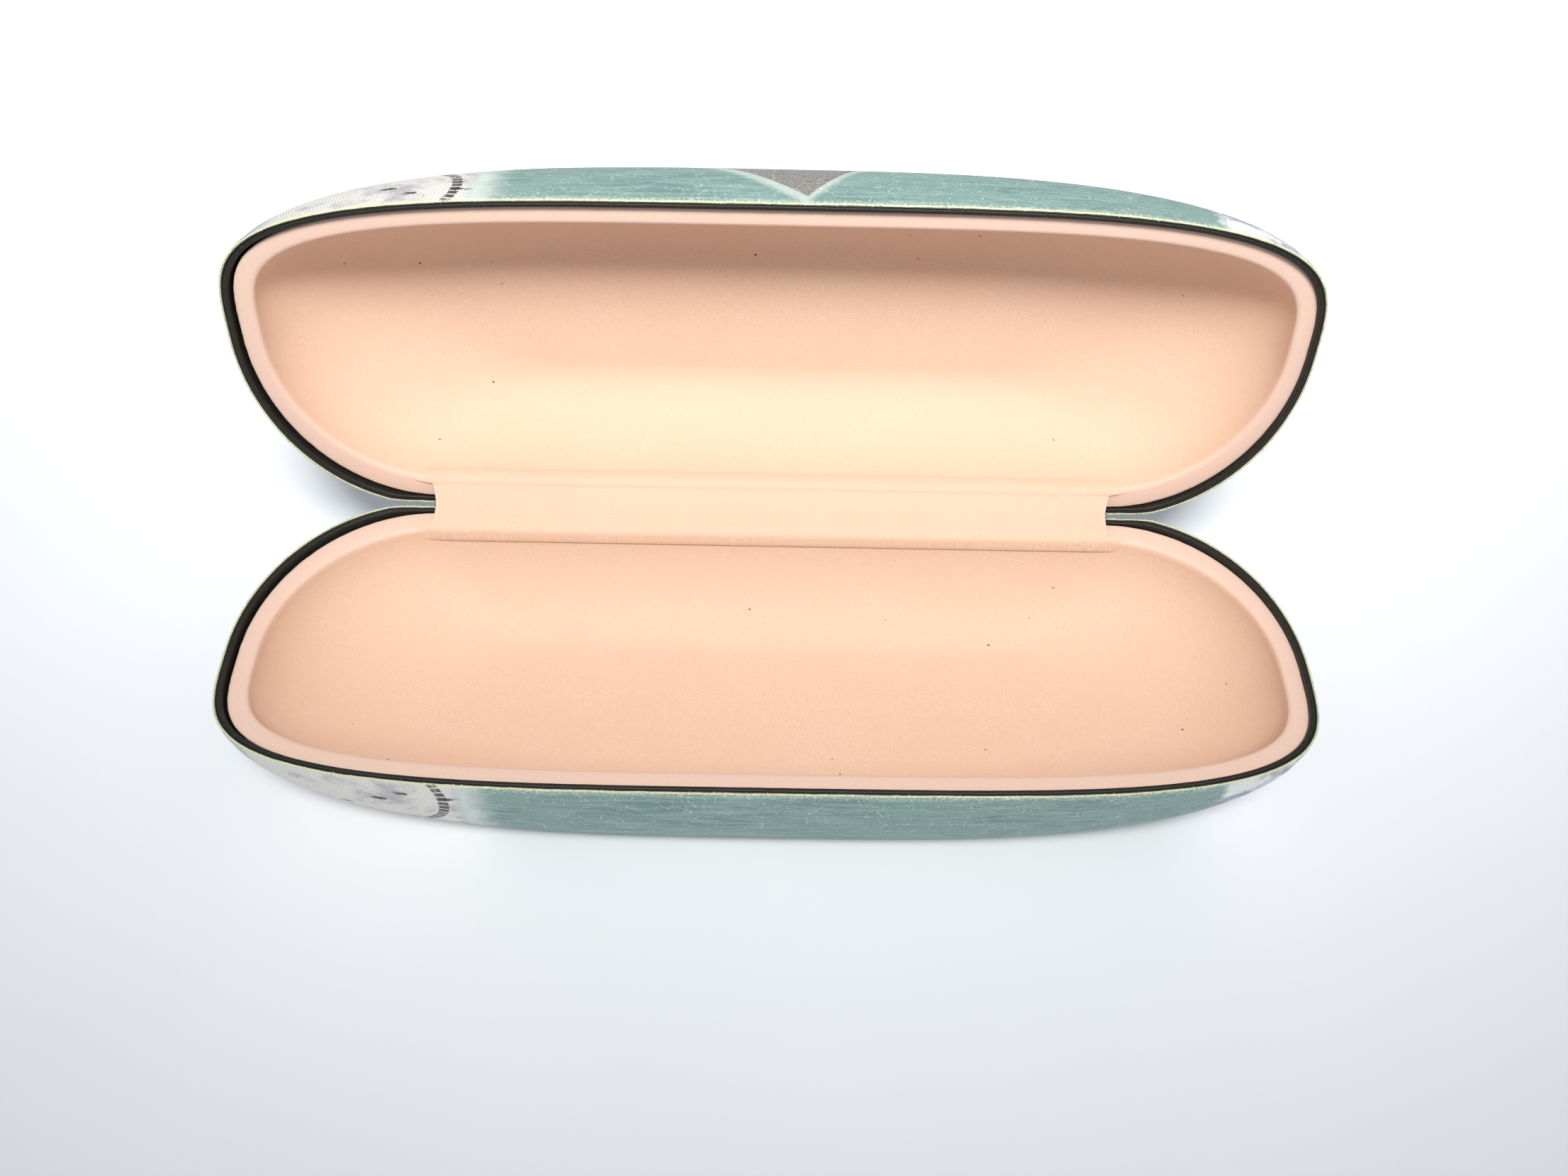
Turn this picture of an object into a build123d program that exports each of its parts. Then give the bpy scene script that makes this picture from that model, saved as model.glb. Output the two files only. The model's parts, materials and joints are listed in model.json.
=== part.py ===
"""Hard clamshell spectacle case, modelled standing open on its base.

Millimetres. X runs along the case, -Y is the front and +Z is up. The origin is the
centre of the base's flat underside. Each half is built closed in the hinge frame,
whose X axis is the hinge axis, then the lid is turned open and everything is moved
to the part frame.
"""
import math
import os

from build123d import *

# ---- driving dimensions -------------------------------------------------------
CASE_LENGTH = 159.0        # over the canvas
FRONT_REACH = 54.3         # hinge axis to the front of the canvas
BACK_REACH = 0.5           # hinge axis to the straight back of the canvas
HALF_DEPTH = 20.0          # hinge axis to the outside of the base's floor
OPEN_ANGLE = 96.0          # where the hinge stops the lid
RIM_GAP = 0.15             # each rim stops this far short of the hinge plane

CANVAS = 0.30              # thicknesses, from the outside in
LEATHERETTE = 0.20
STEEL = 0.40
GLUE = 0.02                # clearance between one layer and the next

LINER = 0.50               # flocked tray sheet
LINER_RECESS = 0.80        # flange below the rim
LINER_CLEARANCE = 0.35     # flange edge to the turned-in leatherette
LINER_SHIFT = 0.30         # the trays sit slightly to the right in the shells
TURN_IN = 8.0              # how far the leatherette is turned down inside

BARREL_RADIUS = 1.0
PIN_RADIUS = 0.50
PIN_CLEARANCE = 0.05
BARREL_LENGTH = 105.0
KNUCKLES = 7               # even ones, counted from 0, belong to the base
KNUCKLE_GAP = 0.30
PIN_HEAD_RADIUS = 0.80
PIN_HEAD = 0.40
LEAF = 0.50                # sheet of the hinge leaves
LEAF_BOTTOM = 6.6          # hinge axis to the far edge of a leaf
RIVET_RADIUS = 0.80
RIVET_HEAD_RADIUS = 1.50
RIVET_HEAD = 0.45
RIVET_DROP = 4.2           # hinge axis to the rivets
RIVET_SPOTS = (-38.0, -13.0, 13.0, 38.0)
RIVET_CLEARANCE = 0.02
SPRING = 0.30
SPRING_HALF_LENGTH = 17.0

NOTCH_DEEP = 1.35          # the rims are cut down this far beside the barrel,
NOTCH_SHALLOW = 0.75       # and this far beyond its ends
NOTCH_END = 60.5           # where the outline has left the hinge axis behind

# ---- the outline: a polygon with a round corner of its own at each point -----------
BACK_CORNER_START = 15.8   # the back corners start this far short of the ends
BACK_CORNER_END = 17.5     # and end this far in front of the back
BACK_CORNER_RADII = (21.0, 34.0)
FRONT_CORNER_RADIUS = 19.0
FRONT_BOW = 1.6            # the front stands out this much more in the middle
BOW_CUT = 0.15             # what rounding the bow takes off its point
BOW_RADIUS = 1400.0
FLOOR_RADIUS = 10.0        # wall into floor, outside
HEEL_RADIUS = 2.2          # the same at the back, where the floor starts sooner so that
HEEL_SETBACK = 7.6         # the open case can't tip; elsewhere the heel is set in this far
HEEL_STEP = 0.1            # how far the heel's back is from the back wall

TRAY_INSET = 4.9           # canvas to the mouth of the tray
TRAY_DEPTH = 16.5          # flange to the tray's floor
TRAY_FLOOR_RADIUS = 13.0

# depths below the outside at which each layer starts and ends
LEATHERETTE_OUT = CANVAS + GLUE
STEEL_OUT = LEATHERETTE_OUT + LEATHERETTE + GLUE
STEEL_IN = STEEL_OUT + STEEL
TURN_OUT = STEEL_IN + GLUE
TURN_END = TURN_OUT + LEATHERETTE
FLANGE_OUT = TURN_END + LINER_CLEARANCE
FLANGE_TOP = -RIM_GAP - LINER_RECESS
TRAY_BACK = TRAY_INSET - BACK_REACH

# the leaves lie on the inside of the steel back wall
LEAF_BACK = -BACK_REACH + STEEL_IN + GLUE
LEAF_FRONT = LEAF_BACK + LEAF
HUGE = 400.0


def outline(inset, height=0.0):
    """Face inside the outline, drawn in all round by inset, at one height."""
    half = CASE_LENGTH / 2
    corners = [
        (-half + BACK_CORNER_START, BACK_REACH),
        (half - BACK_CORNER_START, BACK_REACH),
        (half, BACK_REACH - BACK_CORNER_END),
        (half, -FRONT_REACH + FRONT_BOW),
        (0, -FRONT_REACH - BOW_CUT),
        (-half, -FRONT_REACH + FRONT_BOW),
        (-half, BACK_REACH - BACK_CORNER_END),
    ]
    first, second = BACK_CORNER_RADII
    radii = [first, first, second, FRONT_CORNER_RADIUS, BOW_RADIUS, FRONT_CORNER_RADIUS, second]
    face = make_face(FilletPolyline(*corners, radius=radii, close=True))
    if inset:
        face = offset(face, amount=-inset)
    return Pos(0, 0, height) * face


def bowl(inset, top, bottom, radius):
    """Solid from top down to bottom inside the outline, rounded into its floor."""
    block = extrude(outline(inset, top), amount=top - bottom, dir=(0, 0, -1))
    return fillet(block.edges().group_by(Axis.Z)[0], radius)


def hollow(inset):
    """Solid that fills the case's half, drawn in all round by inset."""
    bottom = inset - HALF_DEPTH
    heel = bowl(HEEL_SETBACK + inset, -FLOOR_RADIUS, bottom, HEEL_RADIUS - inset)
    heel = Pos(0, HEEL_SETBACK - HEEL_STEP, 0) * heel
    return bowl(inset, 0.0, bottom, FLOOR_RADIUS - inset) + heel


def tray_hollow(grow):
    """Solid that fills a tray down from its flange, grown by grow."""
    return bowl(TRAY_INSET - grow, FLANGE_TOP, FLANGE_TOP - TRAY_DEPTH - grow, TRAY_FLOOR_RADIUS + grow)


def slab(low, high):
    """Box between two corners."""
    size = [b - a for a, b in zip(low, high)]
    return Pos(*low) * Box(*size, align=(Align.MIN, Align.MIN, Align.MIN))


def above_rim(lower=0.0):
    """Everything above the rim, with the notch beside the hinge, moved down by lower."""
    rim = -RIM_GAP - lower
    everything = slab((-HUGE, -HUGE, rim), (HUGE, HUGE, HUGE))
    barrel_end = BARREL_LENGTH / 2 + 0.7
    corners = [
        (-NOTCH_END, rim),
        (-NOTCH_END + 4.5, -NOTCH_SHALLOW - lower),
        (-barrel_end - 0.7, -NOTCH_SHALLOW - lower),
        (-barrel_end, -NOTCH_DEEP - lower),
    ]
    corners += [(-x, z) for x, z in reversed(corners)]
    corners += [(NOTCH_END, 5.0), (-NOTCH_END, 5.0)]
    notch = extrude(Plane.XZ * make_face(Polyline(*corners, close=True)), amount=4.0, both=True)
    return everything + notch


# ---- the pieces of one half, closed, below the hinge plane ------------------------
def canvas():
    return hollow(0.0) - hollow(CANVAS) - above_rim()


def leatherette():
    """Skin between the canvas and the steel."""
    return hollow(LEATHERETTE_OUT) - hollow(STEEL_OUT - GLUE) - above_rim()


def edge_binding():
    """Black strip over the steel edge, turned down inside except behind the hinge leaf."""
    near_rim = slab((-HUGE, -HUGE, -TURN_IN), (HUGE, HUGE, 5.0))
    wall = (hollow(STEEL_OUT) & near_rim) - (hollow(TURN_END) & near_rim)
    steel_room = (hollow(STEEL_OUT - GLUE / 2) & near_rim) - (hollow(TURN_OUT) & near_rim)
    steel_room -= above_rim(LEATHERETTE)
    barrel_end = BARREL_LENGTH / 2 + 1.0
    beside_leaf = slab((-barrel_end, -4.0, -TURN_IN - 1.0), (barrel_end, GLUE / 2 - LEAF_BACK, 5.0))
    return wall - above_rim() - steel_room - beside_leaf


def rivet_spots(radius, low, high):
    """Cylinders at the rivets, through the back wall, from low to high along -Y."""
    spots = []
    for x in RIVET_SPOTS:
        stem = Pos(x, -(low + high) / 2, -RIVET_DROP) * Rot(90, 0, 0) * Cylinder(radius, high - low)
        spots.append(stem)
    return Compound(spots)


def shell():
    steel = hollow(STEEL_OUT) - hollow(STEEL_IN) - above_rim(LEATHERETTE + GLUE)
    return steel - rivet_spots(RIVET_RADIUS + RIVET_CLEARANCE, -3.0, 3.0)


def liner():
    """Flocked tray with a flange all round, cut back where the hinge strip lies."""
    flange = extrude(outline(FLANGE_OUT, FLANGE_TOP), amount=LINER, dir=(0, 0, -1))
    flange -= extrude(outline(TRAY_INSET - LINER / 2, FLANGE_TOP + 1.0), amount=3.0, dir=(0, 0, -1))
    tray = tray_hollow(LINER) - tray_hollow(0.0)
    sheet = flange + tray
    reach = BARREL_LENGTH / 2 + 2.0
    sheet -= slab((-reach, -TRAY_BACK + 1.0, -3.0), (reach, 5.0, 3.0))
    return Pos(LINER_SHIFT, 0, 0) * sheet


def knuckle_span(index):
    """Where one knuckle starts and ends along the hinge."""
    pitch = BARREL_LENGTH / KNUCKLES
    start = -BARREL_LENGTH / 2 + index * pitch
    return start + KNUCKLE_GAP / 2, start + pitch - KNUCKLE_GAP / 2


def leaf(first):
    """Hinge leaf with every other knuckle, starting with knuckle number first."""
    reach = BARREL_LENGTH / 2
    plate = slab((-reach, -LEAF_FRONT, -LEAF_BOTTOM), (reach, -LEAF_BACK, -NOTCH_DEEP - 0.1))
    for index in range(first, KNUCKLES, 2):
        start, end = knuckle_span(index)
        barrel = Pos((start + end) / 2, 0, 0) * Rot(0, 90, 0) * Cylinder(BARREL_RADIUS, end - start)
        neck = slab((start, -LEAF_FRONT, -NOTCH_DEEP - 0.2), (end, -LEAF_BACK, -0.3))
        plate += barrel + neck
    plate -= Rot(0, 90, 0) * Cylinder(PIN_RADIUS + PIN_CLEARANCE, BARREL_LENGTH + 2)
    return plate - rivet_spots(RIVET_RADIUS + RIVET_CLEARANCE, -3.0, 3.0)


def rivets(stack):
    """Four rivets, flush with the steel outside; stack says how far in each head sits."""
    solids = []
    for x, seat in zip(RIVET_SPOTS, stack):
        place = Pos(x, 0, -RIVET_DROP) * Rot(90, 0, 0)
        stem = place * Pos(0, 0, seat / 2 - 1.5) * Cylinder(RIVET_RADIUS, seat + 3.0)
        head = Pos(0, 0, seat + RIVET_HEAD / 2) * Cylinder(RIVET_HEAD_RADIUS, RIVET_HEAD)
        head = fillet(head.edges().group_by(Axis.Z)[-1], RIVET_HEAD * 0.8)
        solids.append((stem & hollow(STEEL_OUT + GLUE)) + place * head)
    return Compound([solid for group in solids for solid in group.solids()])


def snap_spring():
    """Spring plate on the base leaf, whose finger bears on the middle knuckle."""
    start, end = knuckle_span(KNUCKLES // 2)
    back = LEAF_FRONT + GLUE
    plate = slab((-SPRING_HALF_LENGTH, -back - SPRING, -LEAF_BOTTOM + 0.4), (SPRING_HALF_LENGTH, -back, -1.8))
    plate = fillet(plate.edges().filter_by(Axis.Y), 0.9)
    finger = slab((start + 0.4, -back - SPRING, -2.4), (end - 0.4, -back, -0.2))
    finger = fillet(finger.edges().filter_by(Axis.Y).group_by(Axis.Z)[-1], 0.6)
    return plate + finger - rivet_spots(RIVET_RADIUS + RIVET_CLEARANCE, -3.0, 5.0)


def hinge_pin():
    reach = BARREL_LENGTH / 2 + 0.1
    pin = Rot(0, 90, 0) * Cylinder(PIN_RADIUS, 2 * reach)
    for side in (-1, 1):
        place = Pos(side * (reach + PIN_HEAD / 2), 0, 0) * Rot(0, 90, 0)
        pin += place * Cylinder(PIN_HEAD_RADIUS, PIN_HEAD)
    return pin


# ---- the soft pieces across the hinge, as they lie when the case is open ----------
def opened(reach, height):
    """Where a point of the closed lid goes in the open case, as (in front, up)."""
    turn = math.radians(OPEN_ANGLE)
    return (
        reach * math.cos(turn) - height * math.sin(turn),
        reach * math.sin(turn) + height * math.cos(turn),
    )


def ribbon(path, thickness, half_length):
    """Strip of even thickness whose section follows path, given as (in front, up)."""
    sides = []
    for side in (-1, 1):
        edge = []
        for index, (reach, height) in enumerate(path):
            before = path[max(index - 1, 0)]
            after = path[min(index + 1, len(path) - 1)]
            run, rise = after[0] - before[0], after[1] - before[1]
            size = math.hypot(run, rise) / (side * thickness / 2)
            edge.append((-(reach - rise / size), height + run / size))
        sides.append(edge)
    section = make_face(Polyline(*sides[0], *reversed(sides[1]), close=True))
    return extrude(Plane.YZ * section, amount=half_length, both=True)


def liner_hinge_strip():
    """Flocked strip from one tray to the other, in front of the barrel."""
    height = -FLANGE_TOP - 0.2
    tuck, edge = TRAY_BACK - 0.1, TRAY_BACK - 1.0
    path = [(tuck, -height), (edge, -height), opened(edge, height), opened(tuck, height)]
    return ribbon(path, 0.3, BARREL_LENGTH / 2 + 1.0)


def spine(inner, thickness):
    """Cover that lies round the back of the barrel, between the two back walls."""
    start = 119.0
    end = 360.0 - start - OPEN_ANGLE
    radius = inner + thickness / 2
    steps = 6
    path = []
    for step in range(steps + 1):
        turn = -math.radians(start + (end - start) * step / steps)
        path.append((radius * math.cos(turn), radius * math.sin(turn)))
    return ribbon(path, thickness, NOTCH_END - 8.5)


# ---- assembly -------------------------------------------------------------------
def lid(piece):
    """A piece of the lid: mirrored above the hinge plane and turned open."""
    return Rot(-OPEN_ANGLE, 0, 0) * mirror(piece, about=Plane.XY)


def in_part_frame(piece):
    """Moves a piece from the hinge frame to the part frame."""
    floor_middle = (FRONT_REACH - BACK_REACH) / 2
    return Pos(0, floor_middle, HALF_DEPTH) * piece


def build():
    halves = {
        "canvas": canvas(),
        "leatherette": leatherette(),
        "shell": shell(),
        "edge_binding": edge_binding(),
        "liner": liner(),
    }
    nodes = {}
    for name, piece in halves.items():
        nodes["base_" + name] = piece
        nodes["lid_" + name] = lid(piece)
    plain = LEAF_FRONT + GLUE
    on_spring = plain + SPRING + GLUE
    nodes["base_hinge_leaf"] = leaf(0)
    nodes["lid_hinge_leaf"] = lid(leaf(1))
    nodes["base_rivets"] = rivets((plain, on_spring, on_spring, plain))
    nodes["lid_rivets"] = lid(rivets((plain,) * 4))
    nodes["hinge_pin"] = hinge_pin()
    nodes["snap_spring"] = snap_spring()
    nodes["liner_hinge_strip"] = liner_hinge_strip()
    nodes["spine_leatherette"] = spine(BARREL_RADIUS + 0.12, LEATHERETTE)
    nodes["spine_canvas"] = spine(BARREL_RADIUS + 0.14 + LEATHERETTE, CANVAS)
    return nodes


os.makedirs("parts", exist_ok=True)
for node, piece in build().items():
    export_step(in_part_frame(piece), f"parts/{node}.step")
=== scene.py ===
"""Open hard spectacle case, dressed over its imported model.

Shapes are worked out in millimetres in the hinge frame, for a closed half that lies
below the hinge: x along the case, reach in front of the hinge axis, height above it.
place() turns them into the scene's metres, for the base or for the open lid.
"""
import json
import math
import random

import bpy
import numpy as np
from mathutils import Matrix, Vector, noise


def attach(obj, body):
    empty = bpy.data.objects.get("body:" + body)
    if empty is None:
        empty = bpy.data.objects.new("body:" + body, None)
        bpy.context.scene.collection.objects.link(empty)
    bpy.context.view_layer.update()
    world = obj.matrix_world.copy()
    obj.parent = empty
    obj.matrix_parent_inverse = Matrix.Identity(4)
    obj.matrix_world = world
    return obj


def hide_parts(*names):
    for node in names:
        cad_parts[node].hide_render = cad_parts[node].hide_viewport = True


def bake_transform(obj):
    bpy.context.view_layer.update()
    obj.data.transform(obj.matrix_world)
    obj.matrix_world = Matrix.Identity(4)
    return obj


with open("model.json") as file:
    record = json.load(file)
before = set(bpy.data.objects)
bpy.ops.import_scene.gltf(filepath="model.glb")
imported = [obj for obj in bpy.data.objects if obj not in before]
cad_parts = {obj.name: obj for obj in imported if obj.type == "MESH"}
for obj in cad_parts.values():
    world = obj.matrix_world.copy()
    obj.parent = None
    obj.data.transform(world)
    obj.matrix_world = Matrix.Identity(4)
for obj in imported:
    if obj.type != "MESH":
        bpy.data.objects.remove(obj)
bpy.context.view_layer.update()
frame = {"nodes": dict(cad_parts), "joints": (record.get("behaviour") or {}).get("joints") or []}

JOINT = frame["joints"][0]
HINGE = np.array(JOINT["pos_m"])
OPEN_ANGLE = math.radians(JOINT["range_deg"][1])
MM = 0.001

# ---- sizes, mm. The layers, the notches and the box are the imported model's; the walls are rounder
HALF = 79.5                # half length over the canvas
FRONT = 54.1               # hinge axis to the front
BACK = 0.5                 # hinge axis to the straight back
DEPTH = 20.0               # hinge axis to the underside
STRAIGHT = 54.0            # where the straight back ends
MIDDLE = 30.0              # reach at which the case is longest
RIM = 0.15                 # rims stop this far from the hinge plane
END_DRAW = 33.0            # how far the walls draw in down to the floor, at the ends
FRONT_DRAW = 9.5
BACK_DRAW = 3.4
BACK_BEND = 16.2           # depth at which the back starts to draw in
RIM_POWER = 3.95           # squareness of the front corners at the rim
FLOOR_POWER = 3.0
WALL_POWER = 2.2           # roundness of the walls

CANVAS_IN = 0.30           # depth of each layer below the outside
SKIN_OUT, SKIN_IN = 0.32, 0.52
STEEL_OUT, STEEL_IN = 0.54, 0.94
LIP_IN = 1.18
LIP_DOWN = 8.0

FLANGE_OUT = 1.51
FLANGE_TOP = 0.95
FLANGE_BACK = 3.0          # the flange's back edge, where the hinge strip lies
LINER = 0.5
LINER_SHIFT = 0.30
MOUTH = 4.3                # outside to the edge of the tray,
MOUTH_BACK = 0.6           # and this much more at the back
MOUTH_ROUND = 0.75
TRAY_DEPTH = 17.4
TRAY_END_DRAW = 27.0       # how far the tray's walls draw in down to its floor
TRAY_FRONT_DRAW = 14.0
TRAY_BACK_DRAW = 11.0
TRAY_POWER = 2.9

STRIP_END = 53.2           # half length of the hinge strip
STRIP_SOFT = 0.9           # the rims change over this length past its ends
NOTCH_PLACES = (0, STRIP_END, 53.9, 56, 60.5)
NOTCH_DEPTHS = (1.35, 1.35, 0.75, 0.75, 0.0)
BACK_REACH = 6             # stations with less reach are at the back
SPINE_END = 52.0           # half length of the spine's covers,
SKIN_FOLD, CANVAS_FOLD = 1.24, 1.51    # and their radii round the pin

THREAD_PITCH = 0.42        # the canvas's weave
RIB_PITCH = 0.42           # the linen patch's ribs

# ---- counts ------------------------------------------------------------------------
INSIDE_ROWS, OUTSIDE_ROWS = 12, 26
DOTS_ROUND = 60            # dots in the full ring that the arc is cut from
LOOSE_THREADS = 420
DUST_SPECKS = 16


# ---- the frame of one half -----------------------------------------------------------
def place(side, x, reach, height):
    """Points of a closed half, in mm below the hinge, as scene coordinates of that side."""
    x, reach, height = np.broadcast_arrays(x, reach, height)
    if side == "lid":
        c, s = math.cos(OPEN_ANGLE), math.sin(OPEN_ANGLE)
        reach, height = reach * c + height * s, reach * s - height * c
    return np.stack([x * MM + HINGE[0], HINGE[1] - reach * MM, HINGE[2] + height * MM], axis=-1)


def stations():
    """Places round the outline, as (run, share).

    The runs are 0 right back, 1 right end, 2 front, 3 left end and 4 left back. Their places
    are closer together beside the ends of the hinge.
    """
    close = 49.6
    back = np.concatenate([np.linspace(0, close, 24)[:-1], np.linspace(close, STRAIGHT, 20)[:-1]]) / STRAIGHT
    end = np.concatenate([np.linspace(0, 16, 22)[:-1], np.linspace(16, 90, 34)[:-1]]) / 90
    front = np.linspace(0, 1, 271)[:-1]
    other_end, other_back = (1 - np.concatenate([[1], s[:0:-1]]) for s in (end, back))
    runs = [np.stack([np.full(len(s), i), s]) for i, s in
            enumerate([back, end, front, other_end, other_back])]
    return np.concatenate(runs, axis=1)


RUN, SHARE = stations()
COLUMNS = len(RUN)


def outline(half, front, back, power):
    """x and reach at every station; the arguments may differ from station to station."""
    straight = STRAIGHT * half / HALF
    side = np.where(RUN < 2, 1.0, -1.0)
    along = np.where(RUN == 0, SHARE, np.where(RUN == 4, 1 - SHARE, 1.0))
    turn = np.radians(90 * np.where(RUN == 1, SHARE, np.where(RUN == 3, 1 - SHARE, 0.0)))
    x = side * (straight * along + (half - straight) * np.sin(turn))
    reach = MIDDLE - (MIDDLE - back) * np.cos(turn)
    angle = math.pi * SHARE
    c, s = np.cos(angle), np.sin(angle)
    k = (np.abs(c) ** power + np.abs(s) ** power) ** (-1 / power)
    in_front = RUN == 2
    return (np.where(in_front, half * c * k, x) + 0 * k,
            np.where(in_front, MIDDLE + (front - MIDDLE) * s * k, reach) + 0 * k)


def draw_in(depth, floor, amount, start=0.0, power=WALL_POWER):
    """How far a wall has come in at a depth, when it meets a floor with that amount."""
    u = np.clip((depth - start) / (floor - start), 0, 1)
    return amount * (1 - (1 - u ** power) ** (1 / power))


RIM_X, RIM_REACH = outline(np.array(HALF), np.array(FRONT), np.array(-BACK), np.array(RIM_POWER))
AT_BACK = RIM_REACH < BACK_REACH
NOTCH = np.where(AT_BACK, np.interp(np.abs(RIM_X), NOTCH_PLACES, NOTCH_DEPTHS), 0.0)
BESIDE_STRIP = np.clip((np.abs(RIM_X) - STRIP_END) / STRIP_SOFT, 0, 1)
BY_STRIP = np.where(AT_BACK, 1 - BESIDE_STRIP ** 2 * (3 - 2 * BESIDE_STRIP), 0.0)


def round_length():
    """Distance along the rim from the middle of the front, rightwards positive."""
    step = np.hypot(np.diff(RIM_X, append=RIM_X[0]), np.diff(RIM_REACH, append=RIM_REACH[0]))
    along = np.concatenate([[0], np.cumsum(step)[:-1]])
    middle = along[np.argmin(np.abs(RIM_X) + 1e3 * (RIM_REACH < 40))]
    return middle - along


ALONG = round_length()
ROUND = ALONG.max() - ALONG.min()


# ---- rows of points -------------------------------------------------------------------
def shell_row(inset, depth):
    """One row round the shell at a depth, drawn in by inset, in mm."""
    floor = DEPTH - inset
    power = RIM_POWER + (FLOOR_POWER - RIM_POWER) * np.clip(depth / floor, 0, 1)
    half = HALF - inset - draw_in(depth, floor, END_DRAW - inset)
    front = FRONT - inset - draw_in(depth, floor, FRONT_DRAW - inset)
    back = -BACK + inset + draw_in(depth, floor, BACK_DRAW - inset, BACK_BEND, 2.0)
    x, reach = outline(half, front, back, power)
    return x, reach, -depth + 0 * x


def floor_rows(row, shares):
    """Rows that close a floor towards its middle."""
    x, reach, height = row
    middle = (reach.max() + reach.min()) / 2
    return [(x * s, middle + (reach - middle) * s, height) for s in shares]


def wall_rows(inset, top, count):
    """Rows from the rim at depth top down to the floor and across it."""
    floor = DEPTH - inset
    shares = np.sin(np.linspace(0, math.pi / 2, count)) ** (2 / WALL_POWER)
    shares[:3] = 0, 0.02, 0.06     # close together at the rim
    rows = [shell_row(inset, top + (floor - top) * s) for s in shares]
    return rows + floor_rows(rows[-1], (0.86, 0.62, 0.36, 0.12))


def jitter(seed, scale, size):
    """Smooth noise round the rim, within about size."""
    values = [noise.noise(Vector((math.cos(a) * scale, math.sin(a) * scale, seed)))
              for a in ALONG * (2 * math.pi / ROUND)]
    return np.array(values) * size


def layer_rows(outer, inner, top, rough=0.0, seed=0.0):
    """Rows of a closed thin skin, from its inner floor over the rim to its outer floor."""
    edge = top + NOTCH + jitter(seed, 60, rough) + jitter(seed + 3, 9, rough)
    half = (inner - outer) / 2
    inside = wall_rows(inner, edge + half, INSIDE_ROWS)
    outside = wall_rows(outer, edge + half, OUTSIDE_ROWS)
    lip = [shell_row(outer + half * (1 + math.cos(a)), edge + half * (1 - math.sin(a)))
           for a in np.radians([45, 90, 135])]
    return inside[::-1] + lip + outside


# ---- meshes -----------------------------------------------------------------------------
def new_piece(name, points, faces, material, body, replaces=()):
    """Smooth mesh with its slot, on its body if it has one, in place of the nodes it replaces."""
    mesh = bpy.data.meshes.new(name)
    mesh.from_pydata([tuple(p) for p in points], [], faces)
    mesh.validate()
    mesh.shade_smooth()
    piece = bpy.data.objects.new(name, mesh)
    bpy.context.scene.collection.objects.link(piece)
    mesh.materials.append(material)
    if body:
        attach(piece, body)
    if replaces:
        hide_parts(*replaces)
    return piece


def add_vectors(piece, name, values, period=None):
    """Attribute on face corners. With a period, the first number wraps round at the seam."""
    mesh = piece.data
    count = len(mesh.loops)
    vertex, start = np.empty(count, dtype=np.int32), np.empty(len(mesh.polygons), dtype=np.int32)
    mesh.loops.foreach_get("vertex_index", vertex)
    mesh.polygons.foreach_get("loop_start", start)
    corners = np.asarray(values, dtype=np.float32)[vertex]
    if period:
        lowest = np.minimum.reduceat(corners[:, 0], start)
        lowest = np.repeat(lowest, np.diff(np.append(start, count)))
        corners[:, 0] -= period * (corners[:, 0] - lowest > period / 2)
    layer = mesh.attributes.new(name, "FLOAT_VECTOR", "CORNER")
    layer.data.foreach_set("vector", corners.ravel())


def loop_faces(rows, columns, flip, closed_rows=False):
    """Quads between rows of points, each row a closed loop."""
    faces = []
    for r in range(rows if closed_rows else rows - 1):
        below, above = r * columns, (r + 1) % rows * columns
        for c in range(columns):
            d = (c + 1) % columns
            quad = (below + c, below + d, above + d, above + c)
            faces.append(quad[::-1] if flip else quad)
    return faces


def row_piece(name, side, rows, material, replaces, ends=True, shift=0.0):
    """Piece made of rows round the case. With ends, the first and last row are closed by a fan."""
    x = np.array([r[0] for r in rows]) + shift
    reach = np.array([r[1] for r in rows])
    height = np.array([r[2] for r in rows])
    points = place(side, x, reach, height).reshape(-1, 3)
    closed = np.stack([x, reach, height], axis=-1).reshape(-1, 3)
    step = np.hypot(np.hypot(np.diff(x, axis=0), np.diff(reach, axis=0)), np.diff(height, axis=0))
    down = np.vstack([np.zeros(COLUMNS), np.cumsum(step, axis=0)])
    rim = height.mean(axis=1).argmax()
    down = np.abs(down - down[rim])
    wrap = np.stack([np.tile(ALONG, (len(rows), 1)), down, x], axis=-1).reshape(-1, 3)
    flip = side == "base"
    faces = loop_faces(len(rows), COLUMNS, flip, closed_rows=not ends)
    if ends:
        for first, turned in ((0, not flip), ((len(rows) - 1) * COLUMNS, flip)):
            ring = slice(first, first + COLUMNS)
            middle = len(points)
            points = np.vstack([points, points[ring].mean(axis=0)])
            closed = np.vstack([closed, closed[ring].mean(axis=0)])
            wrap = np.vstack([wrap, wrap[ring].mean(axis=0)])
            for c in range(COLUMNS):
                tri = (first + c, first + (c + 1) % COLUMNS, middle)
                faces.append(tri[::-1] if turned else tri)
    piece = new_piece(name, points, faces, material, side, replaces)
    add_vectors(piece, "closed", closed)
    add_vectors(piece, "wrap", wrap, ROUND)
    return piece


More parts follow.
